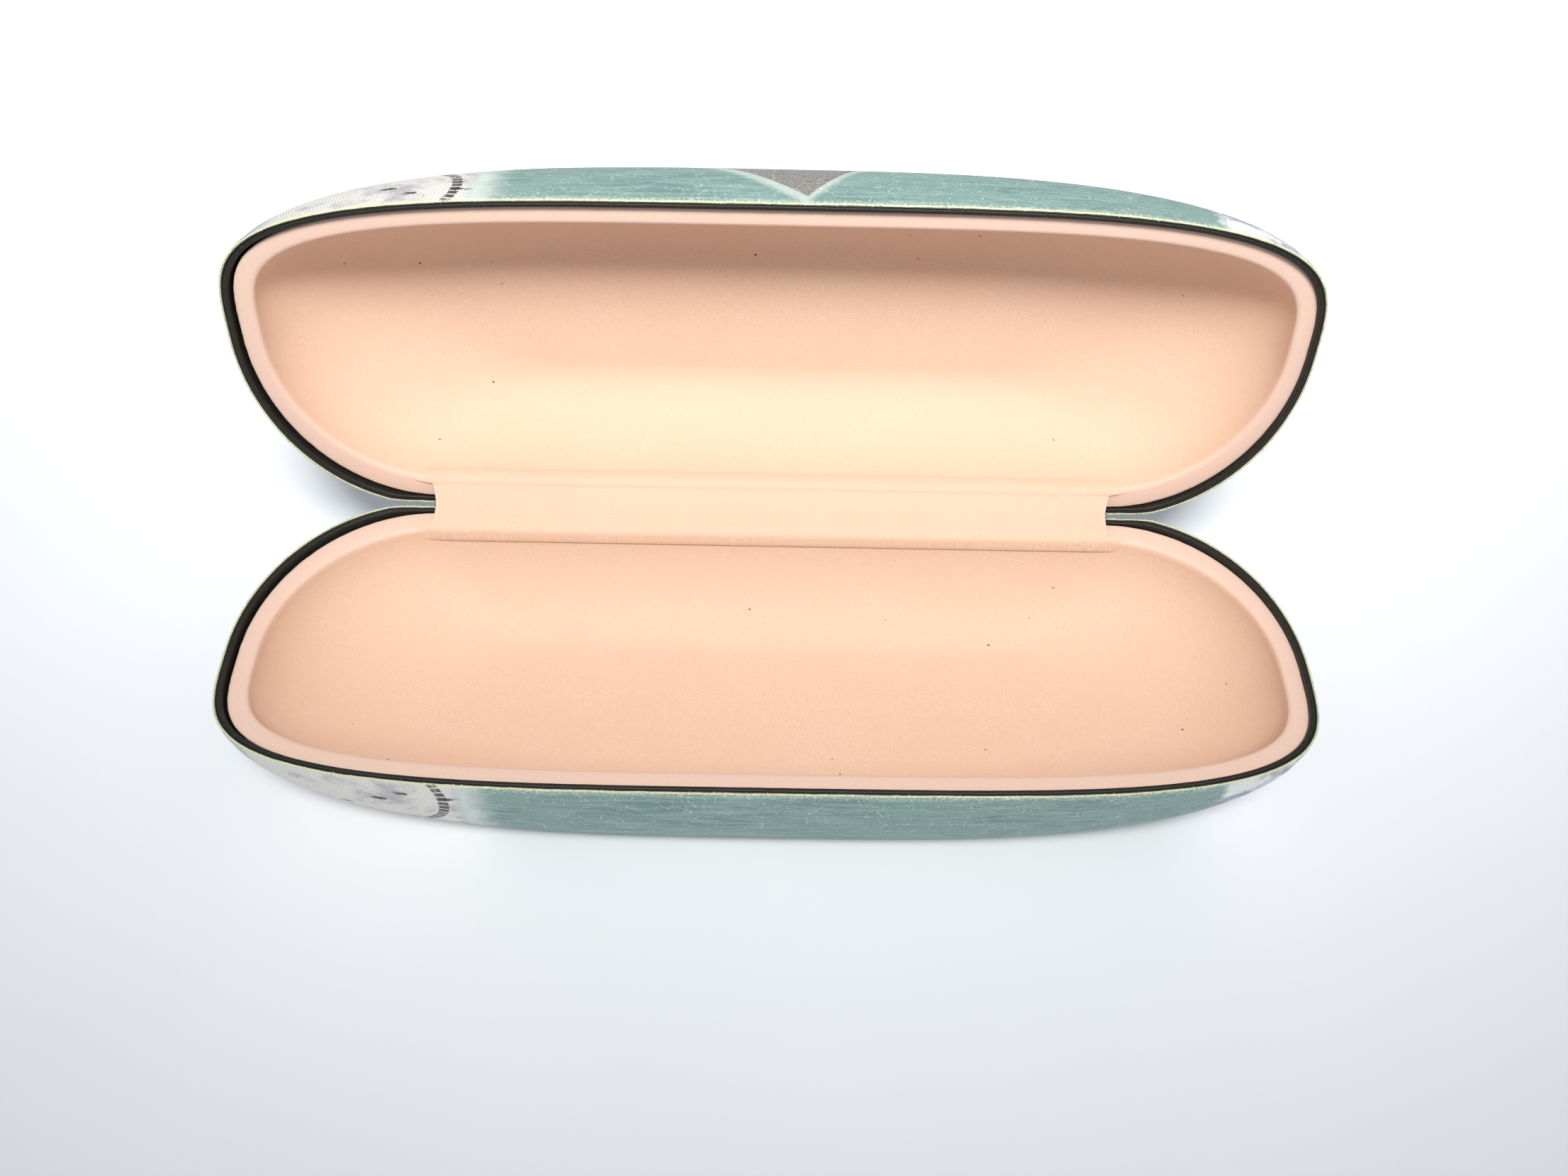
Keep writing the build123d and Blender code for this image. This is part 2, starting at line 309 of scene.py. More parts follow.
def lip_rows():
    """Black strip rolled over the steel edge and down inside; behind the leaf it only caps the edge."""
    away = 1 - BY_STRIP
    inner = LIP_IN - (LIP_IN - STEEL_IN) * BY_STRIP
    cap, steel_top, tip, roll = 0.35, 0.26, 0.12, 0.14
    down = cap + (LIP_DOWN - cap) * away
    sheet = 0.2
    edge = RIM + NOTCH - 0.07 + jitter(5.0, 40, 0.04)
    profile = [(STEEL_IN, down), (STEEL_IN, steel_top), (STEEL_OUT + 0.01, steel_top),
               (STEEL_OUT + 0.005, tip)]
    middle = (inner + STEEL_OUT) / 2
    width = (inner - STEEL_OUT) / 2
    for a in np.radians([160, 130, 90, 50, 20]):
        profile.append((middle + width * math.cos(a), roll * (1 - math.sin(a))))
    profile += [(inner, 0.30), (inner + 0.02, 0.5 * down + 0.2), (inner, down),
                (inner - sheet / 2 * away, down + 0.04)]
    return [shell_row(np.broadcast_to(i, edge.shape), edge + d) for i, d in profile[::-1]]


def tray_row(inset, depth, draw, back=None):
    """One row of the liner, in mm. The trays have softer walls than the shell."""
    ends = HALF - inset - draw_in(draw, 1, TRAY_END_DRAW, power=2.0)
    front = FRONT - inset - draw_in(draw, 1, TRAY_FRONT_DRAW, power=2.0)
    if back is None:
        back = -BACK + inset + MOUTH_BACK + draw_in(draw, 1, TRAY_BACK_DRAW, power=2.0)
    power = RIM_POWER + (TRAY_POWER - RIM_POWER) * draw
    x, reach = outline(ends, front, back, power)
    return x, reach, -depth + 0 * x


def liner_rows():
    """Closed flocked sheet: flange, rounded mouth and tray, then back along the underside."""
    edge_back = -BACK + FLANGE_OUT + (FLANGE_BACK + BACK - FLANGE_OUT) * BY_STRIP
    jag = jitter(9.0, 50, 0.05)
    rows = []
    under = FLANGE_TOP + LINER
    tray_floor = TRAY_DEPTH + LINER
    for s in np.linspace(math.pi / 2, 0, 14):
        share = math.sin(s)
        rows.append(tray_row(MOUTH - LINER, under + (tray_floor - under) * share, share))
    rows = floor_rows(rows[0], (0.12, 0.4, 0.7)) + rows
    rows.append(tray_row(FLANGE_OUT + 0.15, under, 0.0, edge_back + 0.15))
    for a in np.radians([-60, -20, 20, 60]):
        out = FLANGE_OUT + jag + 0.2 * (1 - math.cos(a))
        rows.append(tray_row(out, FLANGE_TOP + LINER / 2 * (1 - math.sin(a)), 0.0,
                             edge_back + jag + 0.2 * (1 - math.cos(a))))
    rows.append(tray_row(FLANGE_OUT + 0.5, FLANGE_TOP, 0.0, edge_back + 0.3))
    rows.append(tray_row(FLANGE_OUT + 1.3, FLANGE_TOP, 0.0, edge_back + 0.4 + 0.6 * (1 - BY_STRIP)))
    for a in np.radians([0, 22, 45, 62]):
        out = MOUTH - MOUTH_ROUND + MOUTH_ROUND * math.sin(a)
        rows.append(tray_row(out, FLANGE_TOP + MOUTH_ROUND * (1 - math.cos(a)), 0.0))
    start = FLANGE_TOP + MOUTH_ROUND * (1 - math.cos(math.radians(62)))
    for s in np.linspace(0, 1, 30)[1:]:
        share = math.sin(s * math.pi / 2)
        rows.append(tray_row(MOUTH - 0.08 * (1 - s), start + (TRAY_DEPTH - start) * share, share))
    rows += floor_rows(rows[-1], (0.88, 0.7, 0.5, 0.3, 0.12))
    return rows[::-1]


# ---- node materials --------------------------------------------------------------------
class Surface:
    """Small builder for a node material. Most methods return an output socket."""

    def __init__(self, name, **settings):
        self.material = bpy.data.materials.new(name)
        self.material.use_nodes = True
        self.tree = self.material.node_tree
        self.shader = self.tree.nodes["Principled BSDF"]
        for key, value in settings.items():
            self.shader.inputs[key.replace("_", " ")].default_value = value

    def node(self, kind, values=(), **properties):
        made = self.tree.nodes.new(kind)
        for key, value in properties.items():
            setattr(made, key, value)
        for key, value in dict(values).items():
            self.put(made.inputs[key], value)
        return made

    def put(self, socket, value):
        if isinstance(value, bpy.types.NodeSocket):
            self.tree.links.new(value, socket)
        elif value is not None:
            socket.default_value = value

    def attribute(self, name):
        return self.node("ShaderNodeAttribute", attribute_name=name).outputs["Vector"]

    def split(self, vector):
        return self.node("ShaderNodeSeparateXYZ", {0: vector}).outputs

    def join(self, x, y, z=0.0):
        return self.node("ShaderNodeCombineXYZ", {0: x, 1: y, 2: z}).outputs[0]

    def math(self, operation, a, b=None, c=None):
        return self.node("ShaderNodeMath", {0: a, 1: b, 2: c}, operation=operation).outputs[0]

    def times(self, first, *others):
        """Product of all the values."""
        for other in others:
            first = self.math("MULTIPLY", first, other)
        return first

    def scaled(self, vector, factors):
        return self.node("ShaderNodeVectorMath", {0: vector, 1: factors}, operation="MULTIPLY").outputs[0]

    def noise(self, vector, scale, detail=2.0, rough=0.5, distortion=0.0):
        values = {"Vector": vector, "Scale": scale, "Detail": detail, "Roughness": rough,
                  "Distortion": distortion}
        return self.node("ShaderNodeTexNoise", values).outputs["Fac"]

    def cells(self, vector, scale, feature="F1", output="Distance"):
        return self.node("ShaderNodeTexVoronoi", {"Vector": vector, "Scale": scale},
                         feature=feature).outputs[output]

    def fit(self, value, low, high, new_low=0.0, new_high=1.0, smooth=True):
        kind = "SMOOTHSTEP" if smooth else "LINEAR"
        return self.node("ShaderNodeMapRange", {0: value, 1: low, 2: high, 3: new_low, 4: new_high},
                         interpolation_type=kind).outputs[0]

    def between(self, value, low, high, soft):
        """1 between low and high, falling to 0 over soft outside them."""
        rise = self.fit(value, low - soft, low)
        fall = self.fit(value, high, high + soft, 1.0, 0.0)
        return self.math("MULTIPLY", rise, fall)

    def mix(self, share, a, b):
        """Colour a, with this share of colour b."""
        return self.node("ShaderNodeMix", {0: share, 6: a, 7: b}, data_type="RGBA").outputs[2]

    def bump(self, height, strength, distance_mm):
        values = {"Height": height, "Strength": strength, "Distance": distance_mm * MM}
        return self.node("ShaderNodeBump", values).outputs[0]

    def object_mm(self):
        """Object coordinates in mm."""
        return self.scaled(self.node("ShaderNodeTexCoord").outputs["Object"], (1000.0, 1000.0, 1000.0))

    def done(self, colour=None, roughness=None, normal=None):
        for key, value in (("Base Color", colour), ("Roughness", roughness), ("Normal", normal)):
            self.put(self.shader.inputs[key], value)
        return self.material


def rgb(red, green, blue):
    """Colour given as display values from 0 to 255."""
    def linear(v):
        v /= 255
        return v / 12.92 if v <= 0.04045 else ((v + 0.055) / 1.055) ** 2.4
    return (linear(red), linear(green), linear(blue), 1.0)


class PaintedCanvas(Surface):
    """Canvas with brushed teal paint, pale collage patches and worn edges.

    "wrap" holds the way along the rim, the way down from it, and x; "closed" holds x, reach and
    height in the closed half. All are in mm.
    """

    def __init__(self, side):
        super().__init__("painted_canvas_" + side, Roughness=0.5, Specular_IOR_Level=0.35)
        self.along, self.depth, self.x = self.split(self.attribute("wrap"))
        self.closed = self.attribute("closed")
        self.reach, height = self.split(self.closed)[1:]
        self.flat = self.join(self.along, self.depth)
        waves = self.math("MULTIPLY_ADD", self.noise(self.closed, 0.35, 3.0, 0.6), 4.0, -2.0)
        self.wavy_x = self.math("ADD", self.x, waves)
        self.torn_reach = self.math("MULTIPLY_ADD", waves, 2.5, self.reach)
        self.front = self.fit(self.torn_reach, 27.0, 29.0)
        brushed = self.scaled(self.join(self.x, height, self.reach), (0.12, 1.6, 0.9))
        self.streaks = self.noise(brushed, 1.0, 6.0, 0.7, 0.6)
        self.chalk = self.noise(self.scaled(brushed, (6.0, 2.2, 6.0)), 1.0, 7.0, 0.78)
        self.broad = self.noise(self.closed, 0.06, 3.0, 0.6)
        self.tone = self.noise(self.closed, 0.22, 4.0, 0.62, 0.4)
        self.thread = self.noise(self.scaled(self.flat, (7.0, 1.2, 1.0)), 1.0, 2.0, 0.5)
        self.ragged = self.noise(self.closed, 1.5, 3.0, 0.7)
        self.shaky = self.math("MULTIPLY_ADD", self.ragged, 1.3, -0.65)
        self.nick = self.noise(self.closed, 2.2, 5.0, 0.75)

    def teal(self):
        """Long streaks over a broad change of tone, with chalky marks."""
        colour = self.mix(self.fit(self.streaks, 0.36, 0.66), rgb(102, 134, 129), rgb(142, 170, 164))
        colour = self.mix(self.times(self.fit(self.broad, 0.4, 0.65), 0.5), colour, rgb(130, 160, 153))
        return self.mix(self.times(self.fit(self.chalk, 0.56, 0.68), 0.6), colour, rgb(196, 208, 203))

    def linen(self):
        """Off-white ribbed linen with soft shades."""
        colour = self.mix(self.fit(self.tone, 0.50, 0.72), rgb(232, 229, 222), rgb(184, 180, 186))
        colour = self.mix(self.fit(self.thread, 0.4, 0.75, 0.0, 0.25), colour, rgb(138, 132, 134))
        slanted = self.math("MULTIPLY_ADD", self.depth, 0.35, self.x)
        ribs = self.math("SINE", self.times(slanted, 2 * math.pi / RIB_PITCH))
        return self.mix(self.fit(ribs, 0.2, 1.0, 0.0, 0.30), colour, rgb(122, 118, 122))

    def strokes(self):
        """Share of ink in short worn strokes."""
        shaken_x = self.math("ADD", self.x, self.shaky)
        spot = self.join(self.times(shaken_x, 0.40), self.math("ADD", self.depth, self.shaky))
        dash = self.fit(self.cells(spot, 0.42), 0.24, 0.17)
        kept = self.fit(self.split(self.cells(spot, 0.42, output="Color"))[0], 0.42, 0.44)
        return self.times(dash, kept, self.fit(self.ragged, 0.30, 0.40))

    def dots(self, middle_x):
        """Share of ink in a ring of dots round a middle below the rim."""
        middle_depth = 5.0
        from_middle = self.node("ShaderNodeVectorMath", {0: self.join(self.x, self.depth),
                                                         1: (middle_x, middle_depth, 0.0)},
                                operation="DISTANCE").outputs["Value"]
        ring = self.between(self.math("MULTIPLY_ADD", self.shaky, 0.4, from_middle), 11.5, 12.7, 0.2)
        angle = self.math("ARCTAN2", self.math("SUBTRACT", self.depth, middle_depth),
                          self.math("SUBTRACT", self.x, middle_x))
        dotted = self.fit(self.math("SINE", self.times(angle, DOTS_ROUND)), -0.9, -0.5)
        return self.times(ring, dotted)

    def add_left_patch(self, colour, left, right):
        """Linen with worn marks, a pale fade into the teal beside it, and an arc of dots."""
        patch = self.times(self.between(self.x, left, right, 2.4), self.front)
        linen = self.mix(self.times(self.strokes(), 0.92), self.linen(), rgb(30, 30, 36))
        colour = self.mix(patch, colour, linen)
        fade = self.times(self.fit(self.wavy_x, right + 7.0, right + 1.0), self.fit(self.x, left - 5, left))
        fade = self.times(self.math("SUBTRACT", fade, patch), self.front)
        colour = self.mix(self.times(fade, 0.85), colour, rgb(222, 228, 222))
        arc = self.times(self.dots(right - 13.0), self.fit(self.x, right - 6.0, right - 3.5), self.front)
        return self.mix(self.times(arc, 0.92), colour, rgb(34, 34, 38))

    def add_right_patch(self, colour, left, right):
        """Pale patch with a cool shade in it."""
        patch = self.times(self.between(self.wavy_x, left, right, 2.0), self.front)
        pale = self.mix(self.fit(self.tone, 0.42, 0.6), rgb(240, 242, 240), rgb(150, 148, 170))
        return self.mix(self.times(patch, 0.9), colour, pale)

    def add_triangle(self, colour, point_x, point_depth):
        """Grey woven triangle whose point is near the rim, with a pale band beside it."""
        down = self.math("SUBTRACT", self.depth, point_depth)
        left = self.math("SUBTRACT", self.x, self.math("MULTIPLY_ADD", down, -0.98, point_x))
        right = self.math("SUBTRACT", self.math("MULTIPLY_ADD", down, 0.60, point_x), self.x)
        inside = self.times(self.fit(left, 0.0, 0.5), self.fit(right, 0.0, 0.5))
        band = self.times(self.fit(self.math("ADD", left, 3.4), 0.0, 2.4),
                          self.fit(self.math("ADD", right, 1.8), 0.0, 1.8))
        kept = self.times(self.fit(self.depth, 19.0, 16.0), self.fit(self.torn_reach, 38.0, 40.0))
        colour = self.mix(self.times(band, kept, 0.5), colour, rgb(226, 230, 222))
        grey = self.mix(self.fit(self.thread, 0.35, 0.7), rgb(152, 148, 144), rgb(104, 100, 98))
        return self.mix(self.times(inside, kept), colour, grey)

    def add_wear(self, colour):
        """Pale and yellowish by the cut edge, with small cracks and specks lower down."""
        rim = self.times(self.fit(self.depth, 1.7, 0.25), self.fit(self.nick, 0.42, 0.62))
        colour = self.mix(self.times(rim, 0.8), colour, rgb(214, 218, 196))
        edge = self.times(self.fit(self.depth, 0.42, 0.2), self.fit(self.nick, 0.3, 0.5))
        colour = self.mix(edge, colour, rgb(206, 208, 172))
        spot = self.join(self.times(self.wavy_x, 0.7), self.depth, self.reach)
        cracks = self.fit(self.cells(spot, 0.5, "DISTANCE_TO_EDGE"), 0.035, 0.01)
        cracks = self.times(cracks, self.fit(self.nick, 0.50, 0.60))
        specks = self.fit(self.noise(self.scaled(self.flat, (0.8, 1.5, 1.0)), 2.2, 4.0, 0.8), 0.60, 0.68)
        specks = self.math("MAXIMUM", cracks, self.times(specks, self.fit(self.broad, 0.35, 0.55)))
        return self.mix(self.times(specks, 0.7), colour, rgb(226, 230, 224))

    def relief(self):
        """Bump of a plain weave under brushed paint."""
        turn = 2 * math.pi / THREAD_PITCH
        crossing = self.times(self.math("SINE", self.times(self.along, turn)),
                              self.math("SINE", self.times(self.depth, turn)))
        cloth = self.math("MULTIPLY_ADD", crossing, 0.5, 0.5)
        height = self.math("MULTIPLY_ADD", cloth, 0.5, self.times(self.streaks, 1.6))
        return self.bump(self.math("MULTIPLY_ADD", self.nick, 0.6, height), 0.35, 0.10)


def canvas_material(side):
    """Painted canvas of one side, whose patches lie a little differently."""
    s = PaintedCanvas(side)
    if side == "lid":
        colour = s.add_left_patch(s.teal(), -70.0, -43.5)
        colour = s.add_right_patch(colour, 63.0, 74.5)
        colour = s.add_triangle(colour, 4.3, 2.0)
    else:
        colour = s.add_left_patch(s.teal(), -72.0, -44.0)
        colour = s.add_right_patch(colour, 65.0, 75.0)
    rough = s.fit(s.chalk, 0.4, 0.7, 0.42, 0.72, smooth=False)
    return s.done(s.add_wear(colour), rough, s.relief())


def flock_material():
    """Flocked sheet: warm pink at the flange, fine pile with painted glints (pale specks in the colour
    standing in for light caught by the fibres), faint blotches.
    """
    s = Surface("flock", Roughness=0.85, Specular_IOR_Level=0.25, Sheen_Weight=0.25, Sheen_Roughness=0.5)
    closed = s.attribute("closed")
    depth = s.times(s.split(closed)[2], -1.0)
    pile = s.noise(closed, 9.0, 3.0, 0.7)
    grain = s.noise(closed, 3.2, 3.0, 0.65)
    blotch = s.noise(closed, 0.07, 3.0, 0.6)
    colour = s.mix(s.fit(pile, 0.35, 0.68), rgb(216, 182, 158), rgb(240, 208, 184))
    colour = s.mix(s.fit(blotch, 0.38, 0.66, 0.0, 0.35), colour, rgb(228, 190, 164))
    flange = s.fit(depth, 1.9, 1.05)
    colour = s.mix(s.times(flange, 0.55), colour, rgb(236, 204, 192))
    # painted glints: near-white specks mixed into the colour, standing in for light that catches the pile
    painted_glint = s.fit(s.noise(closed, 14.0, 1.0, 0.5), 0.70, 0.76)
    colour = s.mix(s.times(painted_glint, 0.5), colour, rgb(255, 244, 230))
    height = s.math("MULTIPLY_ADD", grain, 0.8, pile)
    return s.done(colour, None, s.bump(height, 0.45, 0.08))


def black_material():
    """Fine grained black leatherette with grey scuffs and pale fibres of canvas."""
    s = Surface("black_leatherette", Roughness=0.5, Specular_IOR_Level=0.4)
    closed = s.attribute("closed")
    grain = s.cells(closed, 3.4)
    fine = s.noise(closed, 5.0, 4.0, 0.7)
    colour = s.mix(s.fit(fine, 0.35, 0.7), rgb(14, 14, 12), rgb(44, 42, 34))
    scuff = s.fit(s.noise(closed, 1.7, 5.0, 0.8), 0.64, 0.72)
    colour = s.mix(s.times(scuff, 0.55), colour, rgb(150, 150, 132))
    rough = s.fit(fine, 0.3, 0.7, 0.38, 0.65, smooth=False)
    height = s.math("MULTIPLY_ADD", grain, 0.8, fine)
    return s.done(colour, rough, s.bump(height, 0.5, 0.05))


def metal_material(name, dark, light, rough):
    """Drawn metal with fine lines along the case and faint stains."""
    s = Surface(name, Metallic=1.0, Roughness=rough)
    spot = s.object_mm()
    lines = s.noise(s.scaled(spot, (0.06, 6.0, 6.0)), 1.0, 3.0, 0.6)
    stain = s.noise(spot, 0.35, 4.0, 0.65)
    colour = s.mix(s.fit(lines, 0.3, 0.7), dark, light)
    colour = s.mix(s.fit(stain, 0.5, 0.75, 0.0, 0.4), colour, dark)
    gloss = s.fit(stain, 0.3, 0.7, rough - 0.06, rough + 0.14, smooth=False)
    return s.done(colour, gloss, s.bump(lines, 0.2, 0.03))


def fibre_material():
    """Undyed cotton, paler in places."""
    s = Surface("cotton_fibre", Roughness=0.8, Sheen_Weight=0.3)
    tone = s.noise(s.object_mm(), 1.3, 2.0, 0.6)
    return s.done(s.mix(s.fit(tone, 0.4, 0.6), rgb(198, 202, 176), rgb(238, 240, 232)))


def dust_material():
    """Brown specks."""
    s = Surface("dust", Roughness=0.9)
    tone = s.noise(s.object_mm(), 2.0, 2.0, 0.6)
    return s.done(s.mix(tone, rgb(70, 60, 52), rgb(120, 104, 92)))


# ---- small pieces -------------------------------------------------------------------------
def tube(points, radius, sides):
    """Points and faces of a thin closed tube that tapers at its ends."""
    made, faces = [], []
    line = np.array(points)
    for i, p in enumerate(line):
        ahead = line[min(i + 1, len(line) - 1)] - line[max(i - 1, 0)]
        ahead = Vector(ahead).normalized()
        across = ahead.orthogonal().normalized()
        other = ahead.cross(across)
        thick = radius * (0.45 if i in (0, len(line) - 1) else 1.0)
        for k in range(sides):
            a = 2 * math.pi * k / sides
            made.append(Vector(p) + (across * math.cos(a) + other * math.sin(a)) * thick)
    for i in range(len(line) - 1):
        for k in range(sides):
            n = (k + 1) % sides
            faces.append((i * sides + k, i * sides + n, (i + 1) * sides + n, (i + 1) * sides + k))
    faces.append(tuple(range(sides))[::-1])
    faces.append(tuple((len(line) - 1) * sides + k for k in range(sides)))
    return made, faces


def merged(parts):
    """Several (points, faces) as one."""
    points, faces = [], []
    for made, quads in parts:
        faces += [tuple(i + len(points) for i in q) for q in quads]
        points += [tuple(p) for p in made]
    return points, faces


def frayed_threads(side, count, seed):
    """Short cotton ends that stand out of the canvas's cut edge."""
    rng = random.Random(seed)
    parts = []
    for _ in range(count):
        column = rng.randrange(COLUMNS)
        top = RIM + float(NOTCH[column])
        x, reach, height = [float(v[column]) for v in shell_row(0.15, np.full(COLUMNS, top + 0.12))]
        lean = rng.uniform(-0.5, 0.5)
        length = rng.uniform(0.15, 0.5)
        out = rng.uniform(-0.15, 0.2)
        before, after = column - 1, (column + 1) % COLUMNS
        tangent = Vector((RIM_X[after] - RIM_X[before], RIM_REACH[after] - RIM_REACH[before])).normalized()
        away = Vector((tangent.y, -tangent.x))
        line = []
        for step in range(4):
            f = step / 3
            px = x + tangent.x * lean * f * length * 2 + away.x * out * f * f
            pr = reach + tangent.y * lean * f * length * 2 + away.y * out * f * f
            line.append(place(side, px, pr, height + length * (f - 0.35 * f * f)))
        parts.append(tube(line, rng.uniform(0.02, 0.045) * MM, 4))
    points, faces = merged(parts)
    return new_piece(side + "_frayed_threads", points, faces, FIBRE, side)


def dust_specks(side, count, seed):
    """Specks of dirt that lie on the flock."""
    rng = random.Random(seed)
    rows = liner_rows()[4:26]
    parts = []
    for _ in range(count):
        row = rng.choice(rows)
        column = rng.randrange(COLUMNS)
        x, reach, height = (float(np.broadcast_to(v, (COLUMNS,))[column]) for v in row)
        size = rng.uniform(0.08, 0.2)
        middle = np.array([x + LINER_SHIFT, reach, height + 0.02])
        spots = []
        for ring, up in ((1.0, 0.0), (0.6, 0.45)):
            for k in range(6):
                a = k * math.pi / 3 + rng.uniform(-0.3, 0.3)
                r = size * ring * rng.uniform(0.6, 1.1)
                spots.append(middle + np.array([math.cos(a) * r * 1.4, math.sin(a) * r, up * size]))
        placed = [place(side, *p) for p in spots]
        faces = [(k, (k + 1) % 6, 6 + (k + 1) % 6, 6 + k) for k in range(6)]
        faces += [tuple(range(5, -1, -1)), tuple(range(6, 12))]
        parts.append((placed, faces))
    points, faces = merged(parts)
    return new_piece(side + "_dust", points, faces, DUST, side)


def opened(reach, height):
    """Where a point of the closed lid lies in the open case, as (reach, height)."""
    c, s = math.cos(OPEN_ANGLE), math.sin(OPEN_ANGLE)
    return reach * c - height * s, reach * s + height * c


def smooth_path(knots, steps):
    """Catmull-Rom points through the knots."""
    ends = [2 * np.array(knots[0]) - knots[1]] + [np.array(k) for k in knots]
    ends.append(2 * np.array(knots[-1]) - knots[-2])
    made = []
    for i in range(1, len(ends) - 2):
        a, b, c, d = ends[i - 1:i + 3]
        for t in np.linspace(0, 1, steps, endpoint=False):
            made.append(0.5 * (2 * b + (c - a) * t + (2 * a - 5 * b + 4 * c - d) * t * t
                               + (3 * b - a - 3 * c + d) * t ** 3))
    made.append(ends[-2])
    return np.array(made)


def strip_faces(rows, count):
    """Faces of a closed strip whose points are its top rows, then as many rows under them."""
    faces = []
    under = rows * count
    for r in range(rows - 1):
        for c in range(count - 1):
            a, b = r * count + c, (r + 1) * count + c
            faces.append((a, b, b + 1, a + 1))
            faces.append((under + a, under + a + 1, under + b + 1, under + b))
        for c in (0, count - 1):
            a, b = r * count + c, (r + 1) * count + c
            quad = (a, under + a, under + b, b)
            faces.append(quad if c == 0 else quad[::-1])
    for r in (0, rows - 1):
        for c in range(count - 1):
            a = r * count + c
            quad = (a, a + 1, under + a + 1, under + a)
            faces.append(quad if r == 0 else quad[::-1])
    return faces


def strip_piece(name, knots, thickness, half_ends, material, replaces, sink=0.0):
    """Thin strip across the hinge: a section along knots, drawn out along x, with thin rounded edges.

    Its corners sink onto what lies below them.
    """
    path = smooth_path(knots, 7)
    ahead = np.gradient(path, axis=0)
    ahead /= np.linalg.norm(ahead, axis=1)[:, None]
    across = np.stack([-ahead[:, 1], ahead[:, 0]], axis=1)
    share = np.linspace(0, 1, len(path))
    thin = thickness / 2 * np.minimum(1, np.sqrt(np.minimum(share, 1 - share) * 14 + 0.05))
    half = np.interp(share, np.linspace(0, 1, len(half_ends)), half_ends)
    at_ends = np.clip(np.abs(share - 0.5) * 6 - 1.6, 0, 1)
    columns = np.concatenate([[-1, -0.9985, -0.994], np.linspace(-0.985, 0.985, 150), [0.994, 0.9985, 1]])
    side_thin = np.sqrt(np.clip(1 - np.clip((np.abs(columns) - 0.985) / 0.015, 0, 1) ** 2, 0.03, 1))
    points, closed = [], []
    for top in (1, -1):
        for p, n, t, h, s in zip(path, across, thin, half, at_ends):
            for c, st in zip(columns, side_thin):
                q = p + n * (t * st * top + sink * s * c ** 20)
                points.append((c * h * MM, HINGE[1] - q[0] * MM, HINGE[2] + q[1] * MM))
                closed.append((c * h, q[0], -1.0 - 4.0 * (1 - c ** 16)))    # ends toned like the flange
    faces = strip_faces(len(path), len(columns))
    piece = new_piece(name, points, faces, material, None, replaces)
    add_vectors(piece, "closed", closed)
    add_vectors(piece, "wrap", [(x, 4.0 - r, x) for x, r, h in closed])
    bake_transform(piece)
    return piece


def hinge_strip():
    """Flocked strip from one tray to the other in front of the barrel, longest where it is glued."""
    half = [(4.66, -3.4), (4.60, -2.3), (4.42, -1.35), (3.95, -0.80), (3.3, -0.42)]
    other = [opened(r, -h) for r, h in reversed(half)]
    knots = half + [(1.30, 1.45)] + other
    wider = [6.0, 5.5, 3.6, 0.2, -0.5, 0.2, 3.6, 5.5, 6.0]
    return strip_piece("liner_hinge_strip_soft", knots, 0.3, [STRIP_END + w for w in wider], FLOCK,
                       ["liner_hinge_strip"], sink=0.2)


def spine_piece(name, radius, outer, inner, material, replaces):
    """Cover that folds round the barrel from the base's back wall to the lid's."""
    wall_reach = -BACK + (outer + inner) / 2
    first = [(wall_reach, -1.95), (wall_reach - 0.03, -1.62)]
    lap = [(radius * math.cos(a), -radius * math.sin(a)) for a in np.radians([117, 125, 132, 139, 147])]
    last = [opened(r, -h) for r, h in reversed(first)]
    return strip_piece(name, first + lap + last, inner - outer, [SPINE_END] * 2, material,
                       replaces)


# ---- the object ----------------------------------------------------------------------------
FLOCK = flock_material()
BLACK = black_material()
STEEL = metal_material("steel_sheet", rgb(150, 150, 152), rgb(190, 190, 192), 0.38)
NICKEL = metal_material("nickel", rgb(158, 156, 150), rgb(206, 204, 198), 0.24)
BLUED = metal_material("blued_steel", rgb(70, 76, 92), rgb(118, 124, 138), 0.3)
FIBRE = fibre_material()
DUST = dust_material()
PAINTED = {side: canvas_material(side) for side in ("base", "lid")}


def make_half(side, number):
    """All layers of the base or the lid, with loose threads and dust; number varies their seeds."""
    canvas = layer_rows(0.0, CANVAS_IN, RIM, rough=0.09, seed=1.0 + number)
    skin = layer_rows(SKIN_OUT, SKIN_IN, RIM + 0.02, rough=0.03, seed=4.0)
    steel = layer_rows(STEEL_OUT, STEEL_IN, RIM + 0.24)
    row_piece(side + "_painted_canvas", side, canvas, PAINTED[side], [side + "_canvas"])
    row_piece(side + "_black_skin", side, skin, BLACK, [side + "_leatherette"])
    row_piece(side + "_steel_bowl", side, steel, STEEL, [side + "_shell"])
    row_piece(side + "_black_lip", side, lip_rows(), BLACK, [side + "_edge_binding"], ends=False)
    row_piece(side + "_flocked_tray", side, liner_rows(), FLOCK, [side + "_liner"],
              shift=LINER_SHIFT)
    frayed_threads(side, LOOSE_THREADS, 11 + number)
    dust_specks(side, DUST_SPECKS, 21 + number)


def make_spine():
    """Flocked strip in front of the hinge, and the two covers behind it."""
    hinge_strip()
    spine_piece("spine_black_skin", SKIN_FOLD, SKIN_OUT, SKIN_IN, BLACK, ["spine_leatherette"])
    spine_piece("spine_painted_canvas", CANVAS_FOLD, 0.0, CANVAS_IN, PAINTED["lid"],
                ["spine_canvas"])


def dress_metal():
    """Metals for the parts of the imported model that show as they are."""
    nickel_parts = ("base_hinge_leaf", "lid_hinge_leaf", "base_rivets", "lid_rivets", "hinge_pin")
    for node in nickel_parts + ("snap_spring",):
        mesh = frame["nodes"][node].data
        mesh.materials.clear()
        mesh.materials.append(NICKEL if node in nickel_parts else BLUED)


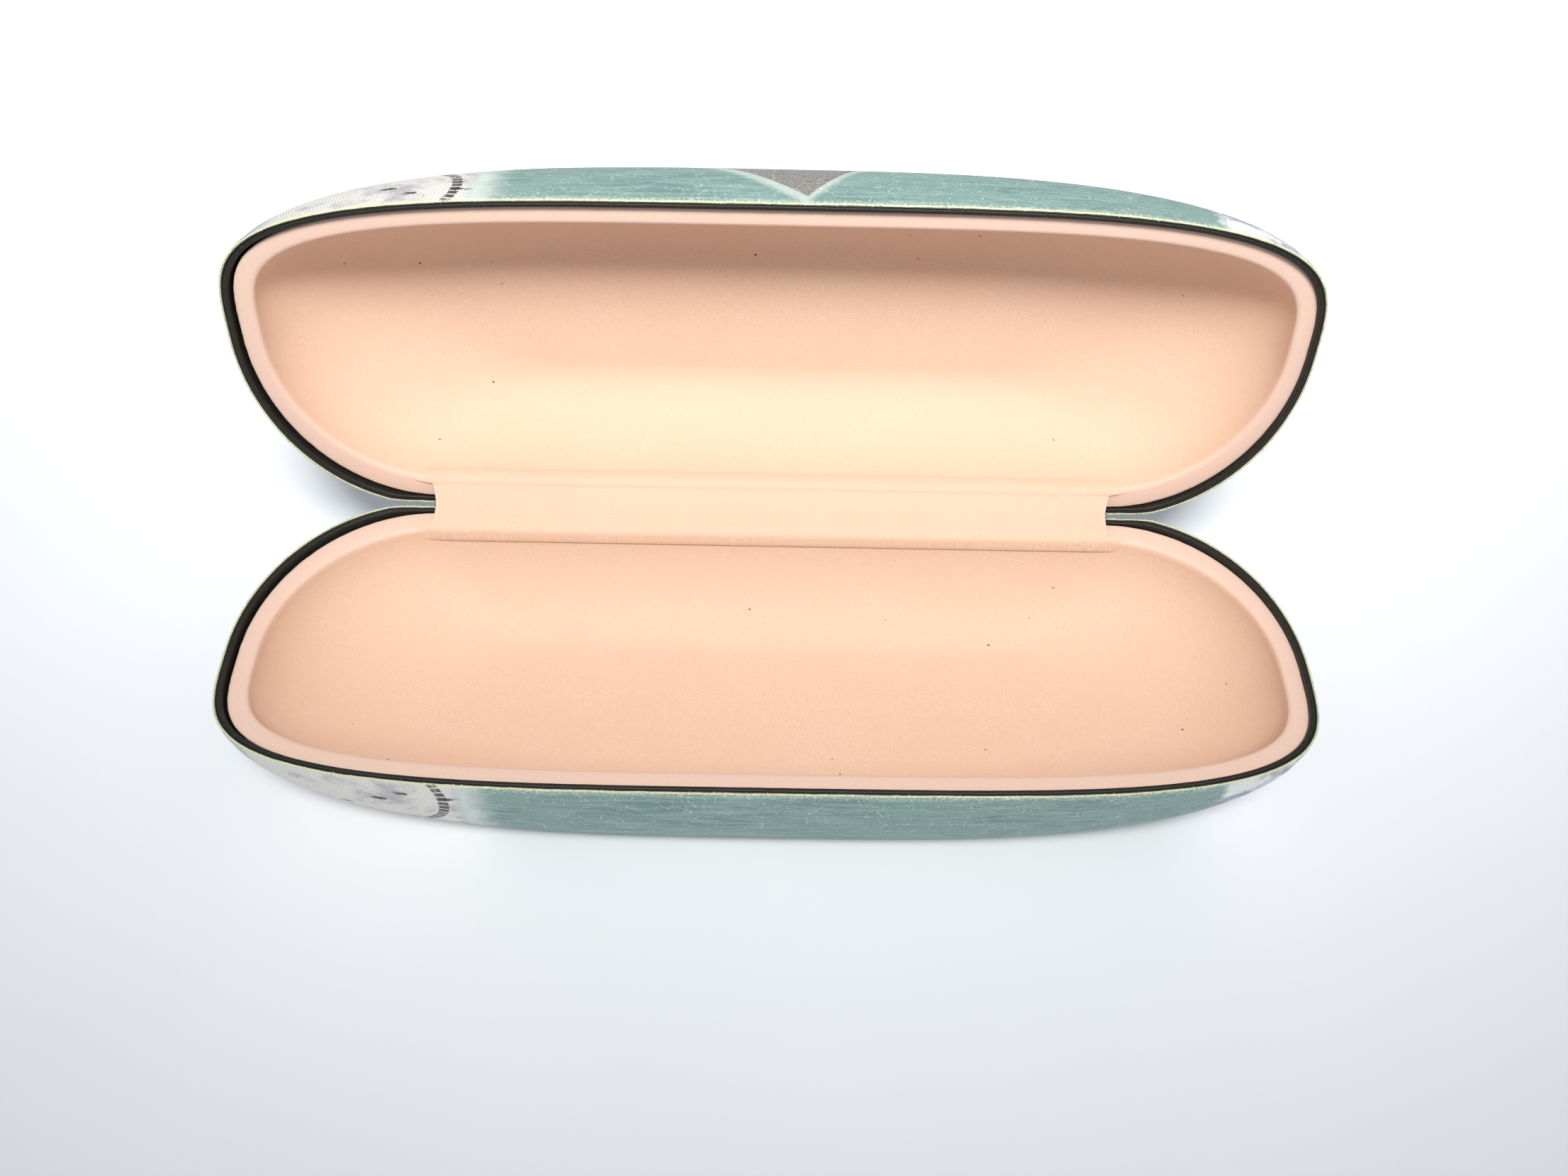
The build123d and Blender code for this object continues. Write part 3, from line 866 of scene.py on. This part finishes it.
# ---- floor, light and camera ---------------------------------------------------------------
def floor_material():
    """White paper with a very faint tooth."""
    s = Surface("paper", Roughness=0.9, Specular_IOR_Level=0.1)
    spot = s.node("ShaderNodeTexCoord").outputs["Object"]
    tone = s.noise(spot, 18.0, 3.0, 0.6)
    return s.done(s.mix(tone, rgb(240, 242, 246), rgb(246, 247, 250)), None,
                  s.bump(s.noise(spot, 900.0, 2.0, 0.5), 0.1, 0.1))


def make_floor():
    size = 12.0
    corners = [(-size, -size, 0), (size, -size, 0), (size, size, 0), (-size, size, 0)]
    mesh = bpy.data.meshes.new("floor")
    mesh.from_pydata(corners, [], [(0, 1, 2, 3)])
    floor = bpy.data.objects.new("floor", mesh)
    mesh.materials.append(floor_material())
    bpy.context.scene.collection.objects.link(floor)


def area_light(name, spot, aim, size, watts, colour, spread):
    data = bpy.data.lights.new(name, "AREA")
    data.shape = "DISK"
    data.size = size
    data.spread = math.radians(spread)
    data.energy = watts
    data.color = colour
    lamp = bpy.data.objects.new(name, data)
    lamp.location = spot
    lamp.rotation_euler = (Vector(aim) - Vector(spot)).to_track_quat("-Z", "Y").to_euler()
    bpy.context.scene.collection.objects.link(lamp)


def make_light():
    world = bpy.data.worlds.new("studio")
    world.use_nodes = True
    background = world.node_tree.nodes["Background"]
    background.inputs["Color"].default_value = (0.90, 0.95, 1.0, 1.0)
    background.inputs["Strength"].default_value = 0.45
    bpy.context.scene.world = world
    area_light("key", (0.03, -0.35, 0.80), (0.0, 0.28, 0.0), 0.34, 1.03, (1.0, 0.985, 0.96), 41.0)


def make_camera():
    data = bpy.data.cameras.new("camera")
    data.sensor_width = 36.0
    data.lens = 36.46
    data.clip_start = 0.01
    camera = bpy.data.objects.new("camera", data)
    camera.location = (-0.0003, -0.1497, 0.2009)
    camera.rotation_euler = tuple(math.radians(a) for a in (41.50, -1.106, 0.375))
    bpy.context.scene.collection.objects.link(camera)
    bpy.context.scene.camera = camera


for number, side in enumerate(("base", "lid")):
    make_half(side, number)
make_spine()
dress_metal()
bpy.context.scene.view_settings.view_transform = "Standard"
make_floor()
make_light()
make_camera()
